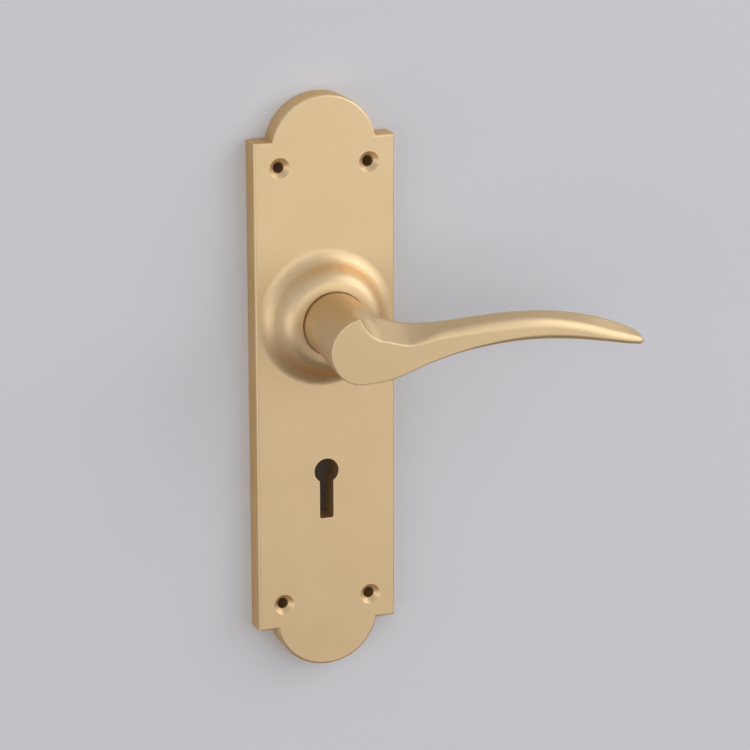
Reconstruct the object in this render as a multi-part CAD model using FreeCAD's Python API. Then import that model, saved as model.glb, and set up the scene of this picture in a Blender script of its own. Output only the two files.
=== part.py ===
import FreeCAD, Part
import math
import os

# Sprung door lever handle on a long shaped backplate, in millimetres.
# The origin is where the spindle axis meets the door face. +X runs along the
# lever, +Y goes into the door and +Z is up, so the handle stands out towards -Y.

V = FreeCAD.Vector
AXIS_Y = V(0, 1, 0)
ORIGIN = V(0, 0, 0)

# ---- backplate -----------------------------------------------------------
PLATE_WIDTH = 52.0
PLATE_THICK = 8.5
SHOULDER_SPAN = 179.5          # between the top and the bottom shoulders
PLATE_DROP = 25.5              # plate's middle below the spindle
ARCH_RADIUS = 19.35            # round head and foot
ARCH_SINK = 3.7                # arch centre inside the shoulder line
EDGE_ROUND = 0.9               # round on the plate's front edges
RIM_WALL = 3.5                 # solid rim round the hollow back
FACE_WALL = 3.0                # metal left under the front face

# ---- fixing holes and keyhole --------------------------------------------
SCREW_INSET_X = 9.5            # hole centre from the plate's side
SCREW_INSET_Z = 9.35           # hole centre from the shoulder line
SCREW_HOLE_R = 2.0
SCREW_SINK_R = 3.75            # mouth of the 90 degree countersink
SCREW_POST_WALL = 3.6
KEY_DROP = 57.0                # lock centres, spindle to keyhole
KEY_EYE_R = 4.6
KEY_SLOT_WIDTH = 5.2
KEY_SLOT_DROP = 17.8           # eye centre to the slot's foot
KEY_FOOT_R = 0.8
KEY_WALL = 2.6                 # wall round the keyhole behind the face

# ---- lever neck and spigot ------------------------------------------------
NECK_R = 11.3
NECK_GAP = 0.35                # shadow gap between neck and boss
BUSH_RUN = 0.05                # running clearance, neck in bush
SOCKET_SIZE = 8.1              # square hole for an 8 mm spindle
SOCKET_DEPTH = 29.0
SPIGOT_WALL = 2.27             # metal outside the socket's corners
SPIGOT_RUN = 0.08              # running clearance, spigot in spring cup
SPIGOT_FLAT_DEPTH = 1.4        # depth of the two flats that drive the cam

# ---- spring works ----------------------------------------------------------
BUSH_WALL = 1.65
BUSH_FLANGE_THICK = 0.9
BUSH_FLANGE_STEP = 1.3         # pocket radius beyond the bush's sleeve
WASHER_THICK = 0.8
CUP_WALL = 1.0
CUP_FLANGE_WIDTH = 2.8
CUP_FLANGE_THICK = 0.8
AXIAL_GAP = 0.1                # free play between a turning and a fixed face
SLIM_GAP = 0.05                # play under the cam plate
EDGE_CLEAR = 0.2               # round clearance of loose discs
SEAT_CLEAR = 0.1               # round clearance of the cup's flange
CAM_INSET = 0.9                # cam's edge inside the cup's flange
CAM_THICK = 1.5
WAVE_HEIGHT = 0.7              # room taken by the wave washer
WAVE_THICK = 0.4
WAVE_WIDTH = 3.0
WAVE_COUNT = 3
CLIP_THICK = 1.0
CLIP_WIDTH = 2.6
CLIP_GROOVE_DEPTH = 0.7
CLIP_TO_END = 0.3              # spigot left behind the clip's groove
CLIP_GAP_HALF = 22.0           # half the clip's opening, degrees
CLIP_EAR_R = 1.7
CLIP_EAR_TURN = 8.0            # ear's centre from the gap's edge, degrees
CLIP_EYE_R = 0.7
COVER_THICK = 0.8
COVER_LAND = 3.3               # width of the seat under the cover's edge
COVER_WALL = 2.4               # casting outside the cover
COVER_HOLE_CLEAR = 0.77        # cover's hole outside the socket's corners
SPIGOT_CLEAR = 0.2             # spigot's end short of the cover

# ---- return spring ----------------------------------------------------------
WIRE_R = 0.8
COIL_TURNS = 2
COIL_SPACE = 0.25              # between one turn's wire and the next
COIL_SECTIONS = 16             # wire sections in a turn
TANG_SWELL = 0.05              # tangs a little fuller than the coil
TANG_ANGLE = 100.0             # both tangs, from +X towards +Z
TANG_CLEAR = 0.15

# ---- stops and cover screws -----------------------------------------------
TRAVEL = 45.0                  # lever's turn, degrees
STOP_PIN_R = 1.2
STOP_PIN_OUT = 1.35            # pin's centre outside the cup's wall
STOP_PIN_SEAT = 3.0            # length sunk in the casting
STOP_CLEAR = 0.1
NOTCH_OUT = 2.0                # notch tool beyond the cam's edge, at its sides
NOTCH_BULGE = 6.0              # and at its middle
STOP_ANGLES = (-70.0, 110.0)
COVER_SCREW_R = 1.0
COVER_SCREW_HEAD_R = 1.75
COVER_SCREW_LENGTH = 4.6
COVER_SCREW_SLOT = 0.4
COVER_SLOT_REACH = 0.7          # cross slot's reach, share of the head's radius
COVER_SCREW_ANGLES = (20.0, 160.0, 200.0, 340.0)

# ---- boss on the plate ----------------------------------------------------
BOSS_HEIGHT = 9.9
BOSS_WAIST_HEIGHT = 3.4        # steepest place, above the plate
BOSS_WALL = 5.7                # metal outside the spring pocket at the waist
BOSS_COVE = 5.2                # cove's width
BOSS_CROWN = 1.3               # crown's flat outside the neck
BOSS_LIP = 1.0                 # metal in front of the bush
BOSS_LIP_ROUND = 0.35
COVE_FLOOR_PULL = 0.45         # how far the cove keeps to the plate, share of its width
WAIST_LEAN = 0.55              # radius lost per height at the waist
WAIST_PULL = 0.45              # how far both curves follow the waist's slope, share of height
CROWN_PULL = 0.62              # how far the dome keeps to the crown, share of its width

# ---- lever head and arm ---------------------------------------------------
PROJECTION = 46.0              # door face to the flat on the lever's head
NECK_SHOWN = 5.6               # straight neck in front of the boss
HEAD_SHIFT_X = 1.0
HEAD_DROP = 3.2
HEAD_SWELL = 0.5               # head's radius beyond the neck's
HEAD_OVERSHOOT = 4.0           # head's tool past the flat, before it is cut
SCOOP_EARLY = -0.35            # scoop's tool starts this share of its depth in front of the flat
SCOOP_ROOM = 6.0               # scoop's tool above the head
ARM_REACH = 110.4              # spindle axis to the tip
TIP_LENGTH = 3.2               # rounded end
TIP_ANGLES = (30, 52, 68, 78)  # stations round the end, degrees
HEAD_END = 20.0                # the guide lines stretch with the reach beyond here
GUIDE_REACH = 110.4            # reach that the guide lines are drawn for

# Guide lines along the arm: (distance from the spindle axis, height).
ARM_TOP = ((0, 9.8), (8, 7.6), (16, 4.5), (24, 3.0), (34, 3.1), (48, 4.2), (62, 4.6),
           (76, 3.5), (90, 0.6), (101, -3.5), (111, -9.0))
ARM_RIDGE = ((0, 0.0), (8, -0.2), (13, -1.5), (19, -2.3), (30, 0.6), (44, 2.2), (58, 2.6),
             (70, 1.6), (84, -2.0), (97, -6.6), (111, -10.6))
ARM_BOTTOM = ((0, -14.6), (8, -14.8), (16, -12.9), (26, -9.5), (38, -6.9), (52, -5.5), (66, -5.6),
              (80, -7.1), (94, -9.7), (104, -11.8), (111, -12.8))
# Depth of the arm's front and back behind the head's flat.
ARM_FRONT = ((0, 0.0), (50, 0.0), (66, 0.4), (80, 1.4), (95, 3.1), (111, 5.8))
ARM_BACK = ((0, 12.0), (20, 11.4), (45, 10.4), (70, 10.0), (90, 10.3), (111, 11.4))
# Corner rounds along the arm: the ridge and the lower front edge are sharp by the head and
# soft in the grip, and the two back edges are round all along.
RIDGE_ROUND = ((0, 0.5), (18, 0.5), (34, 2.6), (62, 3.0), (85, 2.0), (111, 1.2))
TOE_ROUND = ((0, 0.5), (24, 0.5), (44, 1.4), (70, 2.4), (111, 1.5))
ARM_ROUND = ((0, 3.0), (30, 3.4), (70, 3.2), (111, 1.9))
BACK_LIFT = 0.16               # back corner above the bottom line, share of the height
ROUND_LIMIT = 0.45             # most of a side that a corner's round may take
ARM_STATIONS = (1, 7, 13, 19, 26, 34, 43, 53, 63, 73, 83, 92, 100, 107.2)
# Scoop beside the head's flat: height of its front line and of its back line.
SCOOP_FRONT = ((-1.4, 10.4), (-0.8, 8.9), (2, 3.9), (5, 1.4), (8, 0.0), (12, -1.2), (19, -2.3))
SCOOP_BACK = ((-1.4, 12.6), (2, 11.2), (6, 9.4), (9, 7.6), (13, 5.6), (16, 4.4), (19, 3.6))

# ---- radii worked out from the sizes above, from the axis outwards ---------
SOCKET_CORNER_R = SOCKET_SIZE / math.sqrt(2)
SPIGOT_R = SOCKET_CORNER_R + SPIGOT_WALL
SPIGOT_FLATS = 2 * (SPIGOT_R - SPIGOT_FLAT_DEPTH)
GROOVE_R = SPIGOT_R - CLIP_GROOVE_DEPTH
BUSH_R = NECK_R + BUSH_RUN + BUSH_WALL
CUP_R = BUSH_R + BUSH_FLANGE_STEP
COIL_R = (SPIGOT_R + CUP_R - CUP_WALL) / 2
CUP_FLANGE_R = CUP_R + CUP_FLANGE_WIDTH
CAM_R = CUP_FLANGE_R - CAM_INSET
STOP_CENTRE_R = CUP_R + STOP_PIN_OUT
COUNTERBORE_R = CUP_FLANGE_R + SEAT_CLEAR
COVER_R = CUP_FLANGE_R + COVER_LAND
COVER_HOLE_R = SOCKET_CORNER_R + COVER_HOLE_CLEAR
COVER_SCREW_CENTRE_R = (COUNTERBORE_R + COVER_R + EDGE_CLEAR) / 2
BOSS_RING_R = COVER_R + EDGE_CLEAR + COVER_WALL
BOSS_WAIST_R = CUP_R + BOSS_WALL
BOSS_FOOT_R = BOSS_WAIST_R + BOSS_COVE
BOSS_CROWN_R = NECK_R + BOSS_CROWN
HEAD_R = NECK_R + HEAD_SWELL

# ---- places along the spindle axis, from the door face outwards -------------
COVER_Y = -COVER_THICK
SPIGOT_END_Y = COVER_Y - SPIGOT_CLEAR
CLIP_BACK_Y = SPIGOT_END_Y - CLIP_TO_END
CLIP_FRONT_Y = CLIP_BACK_Y - CLIP_THICK
CAM_BACK_Y = CLIP_FRONT_Y - WAVE_HEIGHT
CAM_FRONT_Y = CAM_BACK_Y - CAM_THICK
FLANGE_BACK_Y = CAM_FRONT_Y - SLIM_GAP
FLANGE_FRONT_Y = FLANGE_BACK_Y - CUP_FLANGE_THICK
COIL_BACK_Y = CAM_FRONT_Y - AXIAL_GAP - WIRE_R
COIL_PITCH = 2 * WIRE_R + COIL_SPACE
COIL_FRONT_Y = COIL_BACK_Y - COIL_TURNS * COIL_PITCH
CUP_INNER_Y = COIL_FRONT_Y - WIRE_R - AXIAL_GAP
CUP_FLOOR_Y = CUP_INNER_Y - CUP_WALL
WASHER_BACK_Y = CUP_FLOOR_Y - AXIAL_GAP
SHOULDER_Y = WASHER_BACK_Y - WASHER_THICK
BUSH_BACK_Y = SHOULDER_Y - EDGE_CLEAR
CAVITY_Y = BUSH_BACK_Y - BUSH_FLANGE_THICK
FACE_Y = -PLATE_THICK
BOSS_TOP_Y = FACE_Y - BOSS_HEIGHT
BUSH_FRONT_Y = BOSS_TOP_Y + BOSS_LIP
HOLLOW_Y = FACE_Y + FACE_WALL
HEAD_START_Y = BOSS_TOP_Y - NECK_SHOWN
FLAT_Y = -PROJECTION


def cylinder(radius, y_front, y_back, x=0.0, z=0.0):
    """A round bar along Y, from its front end to its back end."""
    return Part.makeCylinder(radius, y_back - y_front, V(x, y_front, z), AXIS_Y)


def ring(inner, outer, y_front, y_back):
    """A flat washer or tube about the spindle axis."""
    return cylinder(outer, y_front, y_back).cut(cylinder(inner, y_front - 1, y_back + 1))


def polar(radius, degrees):
    """X and Z of a point about the spindle axis, turning from +X towards +Z."""
    angle = math.radians(degrees)
    return radius * math.cos(angle), radius * math.sin(angle)


def prism(wire, y_front, y_back):
    """A flat outline in the plane y = 0 carried along Y."""
    face = Part.Face(wire)
    face.translate(V(0, y_front, 0))
    return face.extrude(V(0, y_back - y_front, 0))


def value_at(guide, x):
    """Cubic Hermite curve through a guide's points, with chord slopes."""
    last = len(guide) - 1
    x = min(max(x, guide[0][0]), guide[last][0])
    k = 0
    while k < last - 1 and x > guide[k + 1][0]:
        k += 1

    def slope(i):
        low = max(i - 1, 0)
        high = min(i + 1, last)
        return (guide[high][1] - guide[low][1]) / (guide[high][0] - guide[low][0])

    x0, v0 = guide[k]
    x1, v1 = guide[k + 1]
    span = x1 - x0
    t = (x - x0) / span
    near = (2 * t ** 3 - 3 * t ** 2 + 1) * v0 + (t ** 3 - 2 * t ** 2 + t) * span * slope(k)
    far = (3 * t ** 2 - 2 * t ** 3) * v1 + (t ** 3 - t ** 2) * span * slope(k + 1)
    return near + far


def bezier(*points):
    """One Bezier edge through its poles."""
    curve = Part.BezierCurve()
    curve.setPoles(list(points))
    return curve.toShape()


# ---- backplate ---------------------------------------------------------------
def plate_outline(inset):
    """Shaped outline: straight sides, square shoulders, a round head and foot."""
    half = PLATE_WIDTH / 2 - inset
    shoulder = SHOULDER_SPAN / 2 - inset
    centre = SHOULDER_SPAN / 2 - ARCH_SINK
    radius = ARCH_RADIUS - inset
    chord = math.sqrt(radius ** 2 - (shoulder - centre) ** 2)
    mid = -PLATE_DROP
    edges = []
    for side in (1, -1):
        start = V(side * half, 0, mid - side * shoulder)
        corner = V(side * half, 0, mid + side * shoulder)
        foot = V(side * chord, 0, mid + side * shoulder)
        crown = V(0, 0, mid + side * (centre + radius))
        far = V(-side * chord, 0, mid + side * shoulder)
        next_corner = V(-side * half, 0, mid + side * shoulder)
        edges.append(Part.makeLine(start, corner))
        edges.append(Part.makeLine(corner, foot))
        edges.append(Part.Arc(foot, crown, far).toShape())
        edges.append(Part.makeLine(far, next_corner))
    return Part.Wire(edges)


def screw_places():
    """Centres of the four fixing holes."""
    half_x = PLATE_WIDTH / 2 - SCREW_INSET_X
    half_z = SHOULDER_SPAN / 2 - SCREW_INSET_Z
    return [(sx * half_x, sz * half_z - PLATE_DROP) for sx in (-1, 1) for sz in (-1, 1)]


def keyhole(grow, y_front, y_back):
    """Round eye with a straight slot below it, grown outwards by a wall."""
    eye = cylinder(KEY_EYE_R + grow, y_front, y_back, 0, -KEY_DROP)
    half = KEY_SLOT_WIDTH / 2 + grow
    length = KEY_SLOT_DROP + grow
    slot = Part.makeBox(2 * half, y_back - y_front, length, V(-half, y_front, -KEY_DROP - length))
    foot = [e for e in slot.Edges
            if e.BoundBox.YLength > 0.5 * (y_back - y_front) and e.CenterOfMass.z < -KEY_DROP - length / 2]
    return eye.fuse(slot.makeFillet(KEY_FOOT_R, foot)).removeSplitter()


def boss_blank():
    """Turned boss: a cove rising off the plate into a domed crown with a small lip round."""
    lip = BOSS_LIP_ROUND
    bore = NECK_R + NECK_GAP

    def at(radius, height):
        return V(radius, FACE_Y - height, 0)

    below = WAIST_PULL * BOSS_WAIST_HEIGHT
    cove = bezier(at(BOSS_FOOT_R, 0), at(BOSS_FOOT_R - COVE_FLOOR_PULL * BOSS_COVE, 0),
                  at(BOSS_WAIST_R + WAIST_LEAN * below, BOSS_WAIST_HEIGHT - below),
                  at(BOSS_WAIST_R, BOSS_WAIST_HEIGHT))
    rise = BOSS_HEIGHT - BOSS_WAIST_HEIGHT
    run = BOSS_WAIST_R - BOSS_CROWN_R
    above = WAIST_PULL * rise
    dome = bezier(at(BOSS_WAIST_R, BOSS_WAIST_HEIGHT),
                  at(BOSS_WAIST_R - WAIST_LEAN * above, BOSS_WAIST_HEIGHT + above),
                  at(BOSS_CROWN_R + CROWN_PULL * run, BOSS_HEIGHT), at(BOSS_CROWN_R, BOSS_HEIGHT))
    crown = Part.makeLine(at(BOSS_CROWN_R, BOSS_HEIGHT), at(bore + lip, BOSS_HEIGHT))
    lip_round = bezier(at(bore + lip, BOSS_HEIGHT), at(bore, BOSS_HEIGHT), at(bore, BOSS_HEIGHT - lip))
    bore_line = Part.makeLine(at(bore, BOSS_HEIGHT - lip), at(bore, -FACE_WALL / 2))
    base = Part.makeLine(at(bore, -FACE_WALL / 2), at(BOSS_FOOT_R, -FACE_WALL / 2))
    skirt = Part.makeLine(at(BOSS_FOOT_R, -FACE_WALL / 2), at(BOSS_FOOT_R, 0))
    profile = Part.Face(Part.Wire([cove, dome, crown, lip_round, bore_line, base, skirt]))
    return profile.revolve(ORIGIN, AXIS_Y, 360)


def hollow_back():
    """Space behind the face, less the posts, the works' ring and the keyhole's wall."""
    space = prism(plate_outline(RIM_WALL), HOLLOW_Y, 1)
    keep = cylinder(BOSS_RING_R, HOLLOW_Y - 1, 2)
    for x, z in screw_places():
        keep = keep.fuse(cylinder(SCREW_HOLE_R + SCREW_POST_WALL, HOLLOW_Y - 1, 2, x, z))
    keep = keep.fuse(keyhole(KEY_WALL, HOLLOW_Y - 1, 2))
    return space.cut(keep)


def backplate():
    """Cast plate with its boss, hollow back, pockets and holes."""
    plate = prism(plate_outline(0), FACE_Y, 0)
    front = [e for e in plate.Edges if e.BoundBox.YMax < FACE_Y + 0.01]
    plate = plate.makeFillet(EDGE_ROUND, front)
    plate = plate.fuse(boss_blank()).removeSplitter()
    plate = plate.cut(hollow_back())
    plate = plate.cut(cylinder(NECK_R + NECK_GAP, BOSS_TOP_Y - 1, 1))
    plate = plate.cut(cylinder(BUSH_R, BUSH_FRONT_Y, 1))
    plate = plate.cut(cylinder(CUP_R, CAVITY_Y, 1))
    plate = plate.cut(cylinder(COUNTERBORE_R, FLANGE_FRONT_Y, 1))
    plate = plate.cut(cylinder(COVER_R + EDGE_CLEAR, COVER_Y, 1))
    for degrees in STOP_ANGLES:
        x, z = polar(STOP_CENTRE_R, degrees)
        plate = plate.cut(cylinder(STOP_PIN_R, FLANGE_FRONT_Y - STOP_PIN_SEAT, 0, x, z))
    for degrees in COVER_SCREW_ANGLES:
        x, z = polar(COVER_SCREW_CENTRE_R, degrees)
        plate = plate.cut(cylinder(COVER_SCREW_R, -COVER_SCREW_LENGTH, 1, x, z))
    for x, z in screw_places():
        plate = plate.cut(cylinder(SCREW_HOLE_R, FACE_Y - 1, 1, x, z))
        sink = SCREW_SINK_R - SCREW_HOLE_R
        plate = plate.cut(Part.makeCone(SCREW_SINK_R, SCREW_HOLE_R, sink, V(x, FACE_Y, z), AXIS_Y))
    return plate.cut(keyhole(0, FACE_Y - 1, 1))


# ---- lever -------------------------------------------------------------------
def stretched(x):
    """Where a guide line's station lies once the arm has its reach."""
    if x <= HEAD_END:
        return x
    return HEAD_END + (x - HEAD_END) * (ARM_REACH - HEAD_END) / (GUIDE_REACH - HEAD_END)


def arm_section(x, scale):
    """Four-sided section at one station, with a round at each corner, scaled about its middle."""
    front = FLAT_Y + value_at(ARM_FRONT, x)
    back = FLAT_Y + value_at(ARM_BACK, x)
    top = value_at(ARM_TOP, x)
    ridge = value_at(ARM_RIDGE, x)
    bottom = value_at(ARM_BOTTOM, x)
    lift = BACK_LIFT * (top - bottom)
    corners = [(front, bottom), (front, ridge), (back, top), (back, bottom + lift)]
    soft = value_at(ARM_ROUND, x)
    rounds = [value_at(TOE_ROUND, x), value_at(RIDGE_ROUND, x), soft, soft]
    mid_y = sum(c[0] for c in corners) / 4
    mid_z = sum(c[1] for c in corners) / 4
    place = stretched(x)
    points = [V(place, mid_y + (c[0] - mid_y) * scale, mid_z + (c[1] - mid_z) * scale) for c in corners]
    ends = []
    for k in range(4):
        here = points[k]
        before = points[k - 1] - here
        after = points[(k + 1) % 4] - here
        cut = rounds[k] * scale
        reach_in = min(cut, ROUND_LIMIT * before.Length)
        reach_out = min(cut, ROUND_LIMIT * after.Length)
        ends.append((here + before.normalize() * reach_in, here, here + after.normalize() * reach_out))
    edges = []
    for k in range(4):
        following = ends[(k + 1) % 4][0]
        edges.append(bezier(*ends[k]))
        edges.append(Part.makeLine(ends[k][2], following))
    return Part.Wire(edges)


def arm():
    """The grip: a loft through the stations, ending in a rounded tip."""
    sections = [arm_section(x, 1.0) for x in ARM_STATIONS]
    tip_start = GUIDE_REACH - TIP_LENGTH
    for degrees in TIP_ANGLES:
        turn = math.radians(degrees)
        sections.append(arm_section(tip_start + TIP_LENGTH * math.sin(turn), math.cos(turn)))
    return Part.makeLoft(sections, True, False)


def scoop():
    """Tool that takes the hollow beside the head's flat: everything above a sloping ruled face."""
    ceiling = HEAD_R + SCOOP_ROOM
    wires = []
    slope_span = value_at(ARM_BACK, SCOOP_BACK[-1][0] / 2)
    for blend in (SCOOP_EARLY, 1.0):
        reach = FLAT_Y + slope_span * blend
        points = []
        for x, low in SCOOP_FRONT:
            z = low + (value_at(SCOOP_BACK, x) - low) * blend
            points.append(V(x, reach, z))
        curve = Part.BSplineCurve()
        curve.interpolate(points)
        first = points[0]
        last = points[-1]
        roof_far = V(last.x, reach, ceiling)
        roof_near = V(first.x, reach, ceiling)
        wires.append(Part.Wire([curve.toShape(), Part.makeLine(last, roof_far),
                                Part.makeLine(roof_far, roof_near), Part.makeLine(roof_near, first)]))
    return Part.makeLoft(wires, True, True)


def head():
    """Round column that leans down from the neck to the head's flat."""
    depth = HEAD_START_Y - FLAT_Y
    circles = []
    for y, share in ((HEAD_START_Y, 0.0), (FLAT_Y - HEAD_OVERSHOOT, 1 + HEAD_OVERSHOOT / depth)):
        centre = V(HEAD_SHIFT_X * share, y, -HEAD_DROP * share)
        radius = NECK_R + (HEAD_R - NECK_R) * share
        circles.append(Part.Wire(Part.makeCircle(radius, centre, AXIS_Y)))
    return Part.makeLoft(circles, True, True)


def spigot():
    """Turned shank behind the neck, with two drive flats and the clip's groove."""
    shank = cylinder(SPIGOT_R, SHOULDER_Y, SPIGOT_END_Y)
    for side in (1, -1):
        flat = Part.makeBox(2 * SPIGOT_R, SPIGOT_END_Y - CAM_FRONT_Y + 1, SPIGOT_R,
                            V(-SPIGOT_R, CAM_FRONT_Y, 0 if side > 0 else -SPIGOT_R))
        flat.translate(V(0, 0, side * SPIGOT_FLATS / 2))
        shank = shank.cut(flat)
    return shank.cut(ring(GROOVE_R, SPIGOT_R + 1, CLIP_FRONT_Y, CLIP_BACK_Y))


def lever_handle():
    """Neck, head and arm in one casting, with its spigot and the spindle's square hole."""
    neck = cylinder(NECK_R, HEAD_START_Y, SHOULDER_Y)
    body = neck.fuse(head().cut(scoop())).fuse(arm())
    span = 2 * ARM_REACH
    beyond = Part.makeBox(2 * span, span, span, V(-span, FLAT_Y - span, -span / 2))
    body = body.cut(beyond)
    body = body.fuse(spigot())
    half = SOCKET_SIZE / 2
    square = Part.makeBox(SOCKET_SIZE, SOCKET_DEPTH + 1, SOCKET_SIZE,
                          V(-half, SPIGOT_END_Y - SOCKET_DEPTH, -half))
    return body.cut(square).removeSplitter()


# ---- bearing and spring works -------------------------------------------------
def neck_bush():
    """Flanged nylon bush that the neck turns in."""
    inner = NECK_R + BUSH_RUN
    sleeve = ring(inner, BUSH_R, BUSH_FRONT_Y, CAVITY_Y)
    return sleeve.fuse(ring(inner, CUP_R - EDGE_CLEAR, CAVITY_Y, BUSH_BACK_Y)).removeSplitter()


def thrust_washer():
    """Washer between the lever's shoulder and the cup's floor."""
    return ring(SPIGOT_R + SPIGOT_RUN, CUP_R - 2 * EDGE_CLEAR, SHOULDER_Y, WASHER_BACK_Y)


def tang_hole(y_front, y_back):
    """Hole for one of the spring's tangs."""
    x, z = polar(COIL_R, TANG_ANGLE)
    return cylinder(WIRE_R + TANG_CLEAR, y_front, y_back, x, z)


def spring_cup():
    """Pressed steel cup that holds the spring and carries the spigot."""
    cup = ring(SPIGOT_R + SPIGOT_RUN, CUP_R, CUP_FLOOR_Y, CUP_INNER_Y)
    cup = cup.fuse(ring(CUP_R - CUP_WALL, CUP_R, CUP_FLOOR_Y, FLANGE_BACK_Y))
    cup = cup.fuse(ring(CUP_R - CUP_WALL, CUP_FLANGE_R, FLANGE_FRONT_Y, FLANGE_BACK_Y))
    for degrees in STOP_ANGLES:
        x, z = polar(STOP_CENTRE_R, degrees)
        cup = cup.cut(cylinder(STOP_PIN_R, FLANGE_FRONT_Y - 1, 0, x, z))
    return cup.cut(tang_hole(CUP_FLOOR_Y - 1, CUP_INNER_Y + 0.5)).removeSplitter()


def coil_section(turn):
    """The wire's round section after a number of turns from the front of the coil."""
    angle = math.radians(TANG_ANGLE - 360 * turn)
    centre = V(COIL_R * math.cos(angle), COIL_FRONT_Y + turn * COIL_PITCH, COIL_R * math.sin(angle))
    rise = COIL_PITCH / (2 * math.pi * COIL_R)
    along = V(math.sin(angle), rise, -math.cos(angle)).normalize()
    out = V(math.cos(angle), 0, math.sin(angle))
    across = along.cross(out)
    wire = Part.Wire(Part.makeCircle(WIRE_R))
    wire.Placement = FreeCAD.Placement(FreeCAD.Matrix(out.x, across.x, along.x, centre.x,
                                                      out.y, across.y, along.y, centre.y,
                                                      out.z, across.z, along.z, centre.z,
                                                      0, 0, 0, 1))
    return wire


def return_spring():
    """Torsion spring: whole turns about the spigot with a tang at each end along Y."""
    x, z = polar(COIL_R, TANG_ANGLE)
    count = COIL_TURNS * COIL_SECTIONS
    coil = Part.makeLoft([coil_section(k / COIL_SECTIONS) for k in range(count + 1)], True, False)
    tang_r = WIRE_R + TANG_SWELL
    coil = coil.fuse(cylinder(tang_r, CUP_FLOOR_Y + AXIAL_GAP, COIL_FRONT_Y + tang_r, x, z))
    return coil.fuse(cylinder(tang_r, COIL_BACK_Y - tang_r, CAM_BACK_Y - AXIAL_GAP, x, z))


def cam_plate():
    """Steel disc keyed to the spigot, with a notch for each stop pin and the spring's hole."""
    cam = cylinder(CAM_R, CAM_FRONT_Y, CAM_BACK_Y)
    hole = cylinder(SPIGOT_R, CAM_FRONT_Y - 1, CAM_BACK_Y + 1)
    key = Part.makeBox(2 * SPIGOT_R, CAM_THICK + 4, SPIGOT_FLATS,
                       V(-SPIGOT_R, CAM_FRONT_Y - 2, -SPIGOT_FLATS / 2))
    cam = cam.cut(hole.common(key)).cut(tang_hole(CAM_FRONT_Y - 1, CAM_BACK_Y + 1))
    half_angle = math.degrees(math.asin((STOP_PIN_R + STOP_CLEAR) / STOP_CENTRE_R))
    floor_r = STOP_CENTRE_R - STOP_PIN_R - STOP_CLEAR
    for degrees in STOP_ANGLES:
        start = degrees - half_angle
        sweep = TRAVEL + 2 * half_angle
        corners = [polar(floor_r, start), polar(CAM_R + NOTCH_OUT, start),
                   polar(CAM_R + NOTCH_BULGE, start + sweep / 2),
                   polar(CAM_R + NOTCH_OUT, start + sweep), polar(floor_r, start + sweep),
                   polar(floor_r, start + sweep / 2)]
        points = [V(x, 0, z) for x, z in corners]
        lines = [Part.makeLine(points[k], points[k + 1]) for k in range(4)]
        lines.append(Part.Arc(points[4], points[5], points[0]).toShape())
        cam = cam.cut(prism(Part.Wire(lines), CAM_FRONT_Y - 1, CAM_BACK_Y + 1))
    return cam


def stop_pins():
    """Two pins through the cup's flange that limit the cam's turn."""
    pins = []
    for degrees in STOP_ANGLES:
        x, z = polar(STOP_CENTRE_R, degrees)
        pins.append(cylinder(STOP_PIN_R, FLANGE_FRONT_Y - STOP_PIN_SEAT, CAM_BACK_Y, x, z))
    return Part.makeCompound(pins)


def wave_washer():
    """Spring washer whose height follows a cosine with three waves round the ring."""
    swing = (WAVE_HEIGHT - WAVE_THICK) / 2 - 0.01
    middle = (CAM_BACK_Y + CLIP_FRONT_Y) / 2
    inner = SPIGOT_R + EDGE_CLEAR
    outer = inner + WAVE_WIDTH
    count = 12 * WAVE_COUNT
    sections = []
    for k in range(count):
        degrees = 360 * k / count
        y = middle + swing * math.cos(math.radians(degrees * WAVE_COUNT))
        corners = []
        for radius, side in ((inner, -1), (outer, -1), (outer, 1), (inner, 1)):
            x, z = polar(radius, degrees)
            corners.append(V(x, y + side * WAVE_THICK / 2, z))
        sections.append(Part.makePolygon(corners + corners[:1]))
    return Part.makeLoft(sections, True, False, True)


def retaining_ring():
    """Circlip: an open ring with two eared ends, in the spigot's groove."""
    outer = GROOVE_R + CLIP_WIDTH
    clip = ring(GROOVE_R, outer, CLIP_FRONT_Y, CLIP_BACK_Y)
    far = 2 * outer
    points = [V(0, 0, 0)]
    for degrees in (-90 - CLIP_GAP_HALF, -90, -90 + CLIP_GAP_HALF):
        x, z = polar(far, degrees)
        points.append(V(x, 0, z))
    wedge = prism(Part.makePolygon(points + points[:1]), CLIP_FRONT_Y - 1, CLIP_BACK_Y + 1)
    clip = clip.cut(wedge)
    for side in (-1, 1):
        x, z = polar(GROOVE_R + CLIP_EAR_R, -90 + side * (CLIP_GAP_HALF + CLIP_EAR_TURN))
        clip = clip.fuse(cylinder(CLIP_EAR_R, CLIP_FRONT_Y, CLIP_BACK_Y, x, z))
        clip = clip.cut(cylinder(CLIP_EYE_R, CLIP_FRONT_Y - 1, CLIP_BACK_Y + 1, x, z))
    return clip.removeSplitter()


def cover_screw(x, z, radius):
    """One countersunk screw with a cross slot, or its clearance when the radius is grown."""
    grow = radius - COVER_SCREW_R
    head = COVER_SCREW_HEAD_R - COVER_SCREW_R
    shank = cylinder(radius, -COVER_SCREW_LENGTH, 0, x, z)
    cone = Part.makeCone(radius, COVER_SCREW_HEAD_R + grow, head, V(x, -head, z), AXIS_Y)
    return shank.fuse(cone)


def cover_screws():
    """Four small screws that hold the cover."""
    screws = []
    for degrees in COVER_SCREW_ANGLES:
        x, z = polar(COVER_SCREW_CENTRE_R, degrees)
        screw = cover_screw(x, z, COVER_SCREW_R)
        half = COVER_SCREW_SLOT / 2
        reach = COVER_SLOT_REACH * COVER_SCREW_HEAD_R
        for size_x, size_z in ((reach, half), (half, reach)):
            corner = V(x - size_x, -COVER_SCREW_SLOT, z - size_z)
            screw = screw.cut(Part.makeBox(2 * size_x, 1, 2 * size_z, corner))
        screws.append(screw.removeSplitter())
    return Part.makeCompound(screws)


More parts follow.
